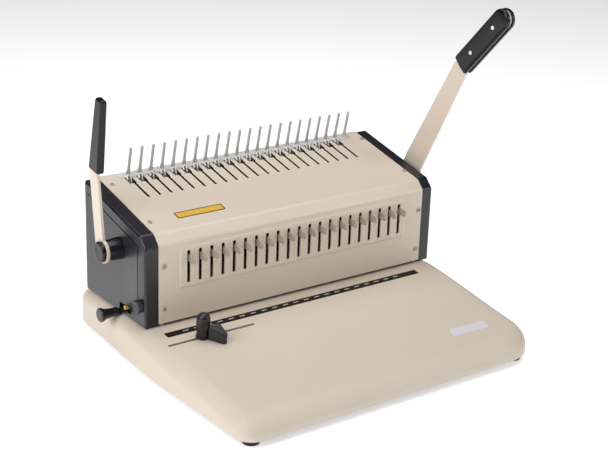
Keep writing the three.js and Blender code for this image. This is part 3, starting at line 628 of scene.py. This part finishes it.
left = cut(
    end_cover(*LEFT_X),
    cylinder(AXIS, 9.5, -200, -170),
    cylinder(KNOB_AT, 2.15, -200, -185),
    prism(rounded(rectangle(POINTER_WINDOW_Y, POINTER_WINDOW_Z), 1.2, 4), -200, -185),
    cylinder(ROD, ROD_R + 0.5, -200, -170),
)
line = [(126, groove_z(126)), (17, groove_z(17)), (17, 29)]
line = rounded(line, 2.0, 5, closed=False)
groove = prism(line + offset_path(line, GROOVE_WIDTH)[::-1], LEFT_X[1] - 1, LEFT_X[1] + 0.8)
left = cut(left, groove)
piece("side_cover_left_shell", left, "machine", BLACK, ["side_cover_left"],
      0.3, 2, 40)
right = cut(end_cover(*RIGHT_X), cylinder(AXIS, 6.6, 170, 200))
piece("side_cover_right_shell", right, "machine", BLACK,
      ["side_cover_right"], 0.3, 2, 40)

# ---- fixed comb ----
PRONG_Y, PRONG_HALF, PRONG_HEIGHT = 127, 1.6, 34
PRONG_SHADE_FROM = 8  # above this height the prongs get a darker grey copy of the comb's steel as painted shade; below it the flange and prong feet stay light
flange = box(COMB_X[0] + 0.3, COMB_X[1] - 0.3, top_u(COMB_GAP_Y + 0.5), top_u(BODY_BACK) - 0.2,
             -SHEET, 0, ON_TOP)
skirt = box(COMB_X[0] + 0.3, COMB_X[1] - 0.3, 130.6, 132.6, 110, top_z(130.6) - 1)
prongs = []
for k in range(1, HOLES + 2):
    x = hole_x(k) + PRONG_DX
    half = PRONG_HALF
    outline = rounded([(x - 3.1, -1), (x + 3.1, -1), (x + 2.7, 3.4), (x + half, 8.4),
                       (x + half, PRONG_HEIGHT), (x - half, PRONG_HEIGHT), (x - half, 8.4),
                       (x - 2.7, 3.4)], [0, 0, 2, 5, 1.3, 1.3, 5, 2], 4)
    u = top_u(PRONG_Y)
    prongs.append(prism(outline, u - 1.6, u, "xz", ON_TOP))
comb = union(flange, skirt, *prongs)
piece("comb_plate_body", comb, "machine", ZINC, ["comb_plate"], 0.25, 2, 40,
      (PRONG_SHADE, lambda at, normal: at.z > top_z(at.y) + PRONG_SHADE_FROM))

# ---- position strip with plain dashes ----
refined("scale_strip", "machine", STRIP, 0.15)
FIRST_DASH_X, DASH_Y, DASH_HALF, DASH_Z = -158, -18.5, (3.4, 0.6), (0.28, 0.36)
dashes = []
for k in range(HOLES):
    x, v = FIRST_DASH_X + PITCH * k, table_v(DASH_Y)
    dashes.append(box(x - DASH_HALF[0], x + DASH_HALF[0], v - DASH_HALF[1], v + DASH_HALF[1],
                      *DASH_Z, ON_TABLE))
piece("strip_dashes", together(dashes), "machine", PRINT, (), 0)

# ---- punch lever ----
PUNCH_FOOT, PUNCH_BEND = Vector((64.5, 73.5)), Vector((-27, 243))
PUNCH_TIP = Vector((-93.6, 314.4))
BAR_X = (198.6, 201.7)
OUTER_SCALE_X, INNER_SCALE_X = (202, 207.6), (198.3, 192.7)
SCALE_HALF = 12.2
RIVET_S, RIVET_HOLE_R = (28, 75), 3.1
GRIP_DIR = (PUNCH_TIP - PUNCH_BEND).normalized()
GRIP_LENGTH = (PUNCH_TIP - PUNCH_BEND).length
BAR_DIR = (PUNCH_BEND - PUNCH_FOOT).normalized()


def along(p, d, s, off=0.0):
    return (p[0] + d[0] * s - d[1] * off, p[1] + d[1] * s + d[0] * off)


def round_end(p, d, s, r, n=20):
    return [along(p, d, s + r * math.sin(math.pi * i / n), -r * math.cos(math.pi * i / n))
            for i in range(n + 1)]


bar = [along(AXIS, BAR_DIR, 0, 18.2), along(AXIS, BAR_DIR, 0, -18.2),
       along(PUNCH_FOOT, BAR_DIR, 42, -14.8), along(PUNCH_BEND, BAR_DIR, -3, -10.8),
       *round_end(PUNCH_BEND, GRIP_DIR, GRIP_LENGTH - 7.9, 10.3),
       along(PUNCH_BEND, BAR_DIR, 4, 10.8), along(PUNCH_FOOT, BAR_DIR, 42, 14.8)]
bar = union(prism(bar, *BAR_X), cylinder(AXIS, 18.4, *BAR_X, n=80))
piece("punch_lever_bar_flat", bar, "punch_lever", PAINT, ["punch_lever_bar"],
      0.9, 3, 30)
RIVETS = [along(PUNCH_BEND, GRIP_DIR, s) for s in RIVET_S]


def grip_scale(flat, face):
    """half handle: flat back, rolled edges, shallow ridge down the middle, round tip"""
    height = face - flat
    half = SCALE_HALF
    centre = GRIP_LENGTH - half + 3.9
    stations = [(3.2, half - 0.5, 0.86), (4.2, half - 0.1, 0.97), (6, half, 1.0)]
    stations += [(6 + (centre - 6) * i / 6, half, 1.0) for i in range(1, 7)]
    for i in range(1, 12):
        a = math.radians(7.6 * i)
        stations.append((centre + half * math.sin(a), half * math.cos(a),
                         0.3 + 0.7 * math.cos(a) ** 0.45))
    rings = []
    for s, w, rise in stations:
        h, e = height * rise, min(3.2, w * 0.6)
        section = [(-w, 0), (-w, 0.42 * h), (-w + 0.1 * e, 0.6 * h), (-w + 0.32 * e, 0.75 * h),
                   (-w + 0.65 * e, 0.84 * h), (-w + e, 0.88 * h), (0, h)]
        section += [(-a, b) for a, b in section[-2::-1]]
        ring = []
        for off, up in section:
            y, z = along(PUNCH_BEND, GRIP_DIR, s, off)
            ring.append((flat + up, y, z))
        rings.append(ring)
    mesh = loft(rings)
    way = 1 if height > 0 else -1
    holes = [cylinder(p, RIVET_HOLE_R, *sorted((face - way * 1.5, face + way * 3)), n=32)
             for p in RIVETS]
    return cut(mesh, *holes)


piece("punch_grip_outer_scale", grip_scale(*OUTER_SCALE_X), "punch_lever",
      GLOSS, ["punch_grip_outer"], 0.25, 2, 42)
piece("punch_grip_inner_scale", grip_scale(*INNER_SCALE_X), "punch_lever",
      GLOSS, ["punch_grip_inner"], 0.25, 2, 42)
for i, at in enumerate(RIVETS, 1):
    dome = [(2.7, 193.9), (2.7, 206.4), (2.4, 207), (1.6, 207.5), (0.8, 207.7), (0, 207.75)]
    rivet = lathe([(0, 192.5), (0.8, 192.55), (1.6, 192.8), (2.4, 193.3), *dome], at, "x", 32)
    piece(f"rivet_{i}", rivet, "punch_lever", ZINC, [f"grip_rivet_{i}"], 0)
refined("punch_shaft", "punch_lever", STEEL, 0.4)

# ---- comb lever ----
COMB_FOOT, COMB_JOINT = Vector((60.8, 74.2)), Vector((72, 158))
GRIP_FOOT, COMB_TIP = Vector((68, 160.5)), Vector((54.7, 240))
ARM_X, ARM_HALF = (-215.8, -212.8), 8.5
TANG_HALF, TANG_LENGTH, TANG_DROP = 4.6, 44, 0.3  # the arm's end inside the grip
ARM_DIR = (COMB_JOINT - COMB_FOOT).normalized()
HAND_DIR = (COMB_TIP - GRIP_FOOT).normalized()
HAND_LENGTH = (COMB_TIP - GRIP_FOOT).length


def arm_end(off):
    """end of the arm's edge, just below the square end of the grip"""
    edge = Vector(along(COMB_JOINT, ARM_DIR, 0, off))
    gap = (GRIP_FOOT - edge).dot(HAND_DIR) - TANG_DROP
    return tuple(edge + ARM_DIR * (gap / ARM_DIR.dot(HAND_DIR)))


arm = union(
    cylinder(AXIS, 12.9, *ARM_X, n=80),
    prism([along(COMB_FOOT, ARM_DIR, 1, ARM_HALF), along(COMB_FOOT, ARM_DIR, 1, -ARM_HALF),
           arm_end(-ARM_HALF), along(GRIP_FOOT, HAND_DIR, -TANG_DROP, -TANG_HALF),
           along(GRIP_FOOT, HAND_DIR, TANG_LENGTH, -4), along(GRIP_FOOT, HAND_DIR, TANG_LENGTH, 4),
           along(GRIP_FOOT, HAND_DIR, -TANG_DROP, TANG_HALF), arm_end(ARM_HALF)], *ARM_X),
)
piece("comb_lever_arm_flat", arm, "comb_lever", PAINT, ["comb_lever_arm"],
      0.5, 3, 30)
cap = lathe([(0, -220), (6.4, -220.2), (9.2, -220.3), (10.2, -220.1), (10.9, -219.5),
             (11.25, -218.5), (11.25, -216.1), (0, -216.1)], AXIS, "x", 72)
piece("comb_lever_cap_disc", cap, "comb_lever", GLOSS, ["comb_lever_cap"], 0.2)
hub = lathe([(0, -212.5), (10.3, -212.5), (10.8, -212.1), (10.95, -211), (12.1, -198.4),
             (12.15, -196.3), (11.9, -196), (0, -196)], AXIS, "x", 72)
piece("comb_lever_hub_boss", cut(hub, cylinder(AXIS, 9.35, -214, -190)), "comb_lever",
      BLACK, ["comb_lever_hub"], 0.3)


def hand_ring(s, width, thick):
    middle = (ARM_X[0] + ARM_X[1]) / 2
    w, t = width / 2, thick / 2
    c = t * 0.3
    ring = []
    for dx, off in [(-t, w - c), (-t, c - w), (c - t, -w), (t - c, -w), (t, c - w), (t, w - c),
                    (t - c, w), (c - t, w)]:
        y, z = along(GRIP_FOOT, HAND_DIR, s, off)
        ring.append((middle + dx, y, z))
    return ring


hand = loft([hand_ring(0, 19, 8.2), hand_ring(1, 19.9, 8.9), hand_ring(40, 16.8, 8.4),
             hand_ring(HAND_LENGTH - 3, 13.6, 7.6), hand_ring(HAND_LENGTH - 0.9, 12, 6.4),
             hand_ring(HAND_LENGTH, 9.4, 4.6)])
TANG_HOLE = [(-3, -5), (TANG_LENGTH + 0.4, -4.35), (TANG_LENGTH + 0.4, 4.35), (-3, 5)]
hand = cut(hand, prism([along(GRIP_FOOT, HAND_DIR, *p) for p in TANG_HOLE],
                       ARM_X[0] - 0.3, ARM_X[1] + 0.3))
piece("comb_lever_grip_handle", hand, "comb_lever", GLOSS,
      ["comb_lever_grip"], 0.6, 4, 22)
refined("comb_shaft", "comb_lever", STEEL, 0.3)

# ---- moving inside parts ----
HOOK_SHADE_FROM = -5  # the hooks keep their bright steel from this height above the top; below it they are painted near-black as shade


def shaded_below_top(at, normal):
    return at.z < top_z(at.y) + HOOK_SHADE_FROM


# the slider's faces below the hook tips get the near-black material as painted shade
refined("hook_slider", "slider", BRIGHT, 0.22, second=(INSIDE_SHADE, shaded_below_top))
# the whole carriage gets the near-black interior material as painted shade inside the machine
refined("punch_carriage", "carriage", INSIDE_SHADE, 0.3)

PIN_Y, PIN_Z, PIN_HALF = (-12.7, 18), (67.5, 75.5), 0.9
for k in range(1, HOLES + 1):
    node = f"die_pin_{k:02d}"
    x = hole_x(k)
    outline = rounded([(PIN_Y[1], PIN_Z[0]), (PIN_Y[1], PIN_Z[1]), (PIN_Y[0], PIN_Z[1]),
                       (PIN_Y[0], PIN_Z[0])], [0.5, 0.5, 3.2, 3.2], 8)
    piece(node + "_tab", prism(outline, x - PIN_HALF, x + PIN_HALF), f"pin_{k:02d}",
          NICKEL, [node], 0.35, 3, 30)


def coil(x, y, z0, z1, r, wire, turns, steps=26, sides=10):
    rings = []
    count = turns * steps
    for i in range(count + 1):
        a = 2 * math.pi * turns * i / count
        t = i / count
        middle = Vector((x + r * math.cos(a), y + r * math.sin(a), z0 + (z1 - z0) * t))
        out = Vector((math.cos(a), math.sin(a), 0))
        rings.append([tuple(middle + (out * math.cos(b) + Vector((0, 0, 1)) * math.sin(b)) * wire)
                      for b in [2 * math.pi * j / sides for j in range(sides)]])
    return loft(rings)


SPRING_Y, SPRING_Z, SPRING_R, SPRING_WIRE, SPRING_TURNS = 56, (1.6, 45.6), 5.2, 0.85, 6
for name, x in (("return_spring_left", -144.5), ("return_spring_right", 144.5)):
    wound = coil(x, SPRING_Y, *SPRING_Z, SPRING_R, SPRING_WIRE, SPRING_TURNS)
    spring = piece(name + "_coil", wound, "machine", ZINC, [name], 0)
    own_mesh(spring)

# ---- sheet edge guide and its knob ----
refined("edge_guide", "guide", BLACK, 0.8, 3, 30)
GUIDE = (-150, table_v(GUIDE_Y))
knob = lathe([(0, 3.2), (6.4, 3.2), (6.6, 3.5), (6.5, 10.2), (6.8, 10.8), (7.3, 11.2), (7.4, 12),
              (7.4, 21.5), (7.2, 23.6), (6.6, 25.6), (5.5, 27.2), (4, 28.3), (2.2, 28.9),
              (0, 29.1)], GUIDE, "z", 56, ON_TABLE)
piece("guide_knob_turn", knob, "guide_clamp", BLACK, ["guide_knob"], 0)

# ---- depth controls ----
dial = lathe([(0, -202), (5.8, -202), (6.6, -201.7), (7, -201), (7, -196), (2, -196),
              (2, -191), (6, -191), (6, -188), (2, -188), (2, -184), (0, -184)], KNOB_AT, "x", 48)
FLUTES = 16
POINTER_PLATE_X = -191.8  # further in than this, inside the cover, the pointer is painted near-black as shade
flutes = []
for i in range(FLUTES):
    a = 2 * math.pi * i / FLUTES
    at = (KNOB_AT[0] + 7.5 * math.cos(a), KNOB_AT[1] + 7.5 * math.sin(a))
    flutes.append(cylinder(at, 0.75, -203, -196.6, n=12))
piece("depth_knob_dial", cut(dial, *flutes), "depth_dial", BLACK_METAL,
      ["depth_knob"], 0.15, 2, 40)
refined("depth_pointer", "depth_mark", YELLOW, 0.4,
        second=(INSIDE_SHADE, lambda at, normal: at.x > POINTER_PLATE_X))
rod = lathe([(0, -219.7), (5.8, -220), (7.1, -219.7), (7.9, -218.9), (7.85, -217.5),
             (7.1, -215.7), (6.2, -213.8), (5.5, -211.4), (5.1, -208.6), (4.9, -205),
             (4.9, -198.5), (4.6, -198.2), (ROD_R, -198.2), (ROD_R, -151.2), (0, -151.2)],
            ROD, "x", 56)
piece("depth_lock_pull", rod, "lock_rod", BLACK, ["depth_lock_rod"], 0)
refined("chip_tray", "tray", BLACK, 0.6, 3)

# ---- small visible details ----
CROSS_HALF, CROSS_REACH, CROSS_FLOOR = 0.42, 0.62, 0.7


def screw(name, place, r=3.0):
    """pan head with a cross recess, standing on z = 0 of place"""
    head = lathe([(0, -0.6), (r, -0.6), (r, 0.5), (r * 0.93, 1.0), (r * 0.74, 1.45),
                  (r * 0.4, 1.72), (0, 1.8)], (0, 0), "z", 40, place)
    reach = r * CROSS_REACH
    cross = [box(-reach, reach, -CROSS_HALF, CROSS_HALF, CROSS_FLOOR, 3, place),
             box(-CROSS_HALF, CROSS_HALF, -reach, reach, CROSS_FLOOR, 3, place)]
    return piece(name, cut(head, *cross, crossing=True), "machine", NICKEL, (), 0.12)


TOP_SCREWS = [(-172.5, 112), (-172.1, 31.4), (173.4, 113), (175, 31.6)]
FRONT_SCREWS = [(-173.6, 67.8), (-173.4, 19.6), (172.7, 67.5), (172, 18.8)]
for i, (x, y) in enumerate(TOP_SCREWS, 1):
    turn = Matrix.Rotation(0.5 * i, 4, "Z")
    screw(f"screw_top_{i}", ON_TOP @ Matrix.Translation((x, top_u(y), 0)) @ turn, 2.6)
for i, (x, z) in enumerate(FRONT_SCREWS, 1):
    turn = Matrix.Rotation(math.pi / 2, 4, "X") @ Matrix.Rotation(0.7 * i, 4, "Z")
    screw(f"screw_front_{i}", Matrix.Translation((x, 0, z)) @ turn)


def label(name, corners, place, face, edge, border=1.3):
    rim = rounded(corners, 1.6, 5)
    if edge:
        piece(name + "_border", prism(rim, -0.05, 0.14, "xy", place), "machine", edge, (), 0)
        xs, ys = ([p[i] for p in corners] for i in (0, 1))
        rim = rounded(rectangle((min(xs) + border, max(xs) - border),
                                (min(ys) + border, max(ys) - border)), 1.0, 5)
    return piece(name, prism(rim, -0.05, 0.2, "xy", place), "machine", face, (), 0)


TOP_LABEL_X, TOP_LABEL_Y = (-139, -79), (28, 39.5)
BASE_LABEL = [(94.7, -158.2), (146.6, -159.4), (151, -146.5), (101.8, -143.5)]
label("top_label", rectangle(TOP_LABEL_X, [top_u(y) for y in TOP_LABEL_Y]), ON_TOP, YELLOW,
      LABEL_EDGE)
label("base_label", [(x, table_v(y)) for x, y in BASE_LABEL], ON_TABLE, LILAC, None)

# ---- stage: floor, light, camera ----
def plain(name, colour, rough):
    material = bpy.data.materials.new(name)
    material.use_nodes = True
    shader = material.node_tree.nodes["Principled BSDF"]
    shader.inputs["Base Color"].default_value = (*linear(*colour), 1)
    shader.inputs["Roughness"].default_value = rough
    shader.inputs["Specular IOR Level"].default_value = 0.2
    return material


FLOOR_HALF = 400
FLOOR_GLOW = 0.5
floor_mesh = bpy.data.meshes.new("floor")
floor_mesh.from_pydata(
    [(x, y, 0) for x, y in rectangle((-FLOOR_HALF, FLOOR_HALF), (-FLOOR_HALF, FLOOR_HALF))], [],
    [(0, 1, 2, 3)])
floor = bpy.data.objects.new("floor", floor_mesh)
pale = plain("pale_floor", (250, 250, 250), 0.8)
glow = pale.node_tree.nodes["Principled BSDF"]
glow.inputs["Emission Color"].default_value = (1, 1, 1, 1)
glow.inputs["Emission Strength"].default_value = FLOOR_GLOW
floor_mesh.materials.append(pale)
bpy.context.scene.collection.objects.link(floor)

world = bpy.data.worlds.new("studio")
bpy.context.scene.world = world
world.use_nodes = True
tree = world.node_tree

# faint light, stronger from the upper rear left; the backdrop is seen as pale as the far floor
SKY_LEAN = (-0.55, 0.40, 0.40)
SKY_LEVEL, SKY_LEAST, SKY_SEEN = 0.95, 0.2, 11.5


def sky_math(operation, source, value):
    n = tree.nodes.new("ShaderNodeMath")
    n.operation = operation
    tree.links.new(source, n.inputs[0])
    n.inputs[1].default_value = value
    return n


coord = tree.nodes.new("ShaderNodeTexCoord")
weigh = tree.nodes.new("ShaderNodeVectorMath")
weigh.operation = "DOT_PRODUCT"
weigh.inputs[1].default_value = SKY_LEAN
tree.links.new(coord.outputs["Generated"], weigh.inputs[0])
level = sky_math("ADD", weigh.outputs["Value"], SKY_LEVEL)
keep = sky_math("MAXIMUM", level.outputs["Value"], SKY_LEAST)
path = tree.nodes.new("ShaderNodeLightPath")
seen = sky_math("MULTIPLY", path.outputs["Is Camera Ray"], SKY_SEEN)
both = sky_math("MAXIMUM", seen.outputs["Value"], 0)
tree.links.new(keep.outputs["Value"], both.inputs[1])
tree.links.new(both.outputs["Value"], tree.nodes["Background"].inputs["Strength"])


def softbox(name, at, aim, size, watts):
    data = bpy.data.lights.new(name, "AREA")
    data.shape = "RECTANGLE"
    data.size, data.size_y = size
    data.energy = watts
    lamp = bpy.data.objects.new(name, data)
    lamp.location = at
    lamp.rotation_euler = (Vector(aim) - Vector(at)).to_track_quat("-Z", "Y").to_euler()
    bpy.context.scene.collection.objects.link(lamp)


softbox("key_left", (-1.5, -0.2, 1.1), (0, 0, 0.1), (1.4, 1.2), 20)
softbox("overhead", (0.1, 0.1, 1.9), (0, 0, 0), (1.8, 1.8), 25)
softbox("fill_right", (1.3, -1.4, 0.9), (0.1, 0, 0.1), (0.9, 0.9), 9)

AZIMUTH, ELEVATION, ROLL = (math.radians(v) for v in (-36.633, 20.361, 2.052))
STANDPOINT = (-859.96, -1164.82, 615.02)
SENSOR = 36
FOCAL = 1395.12 / 608  # focal length over frame width
camera_data = bpy.data.cameras.new("camera")
camera_data.sensor_width = SENSOR
camera_data.lens = SENSOR * FOCAL
camera = bpy.data.objects.new("camera", camera_data)
back = Vector((math.sin(AZIMUTH) * math.cos(ELEVATION), -math.cos(AZIMUTH) * math.cos(ELEVATION),
               math.sin(ELEVATION)))
side = Vector((math.cos(AZIMUTH), math.sin(AZIMUTH), 0))
up = back.cross(side)
side, up = (side * math.cos(ROLL) + up * math.sin(ROLL),
            up * math.cos(ROLL) - side * math.sin(ROLL))
stand = Matrix((side, up, back)).transposed().to_4x4()
stand.translation = TO_FRAME @ Vector(STANDPOINT)
camera.matrix_world = stand
bpy.context.scene.collection.objects.link(camera)
bpy.context.scene.camera = camera
bpy.context.scene.view_settings.view_transform = "Standard"
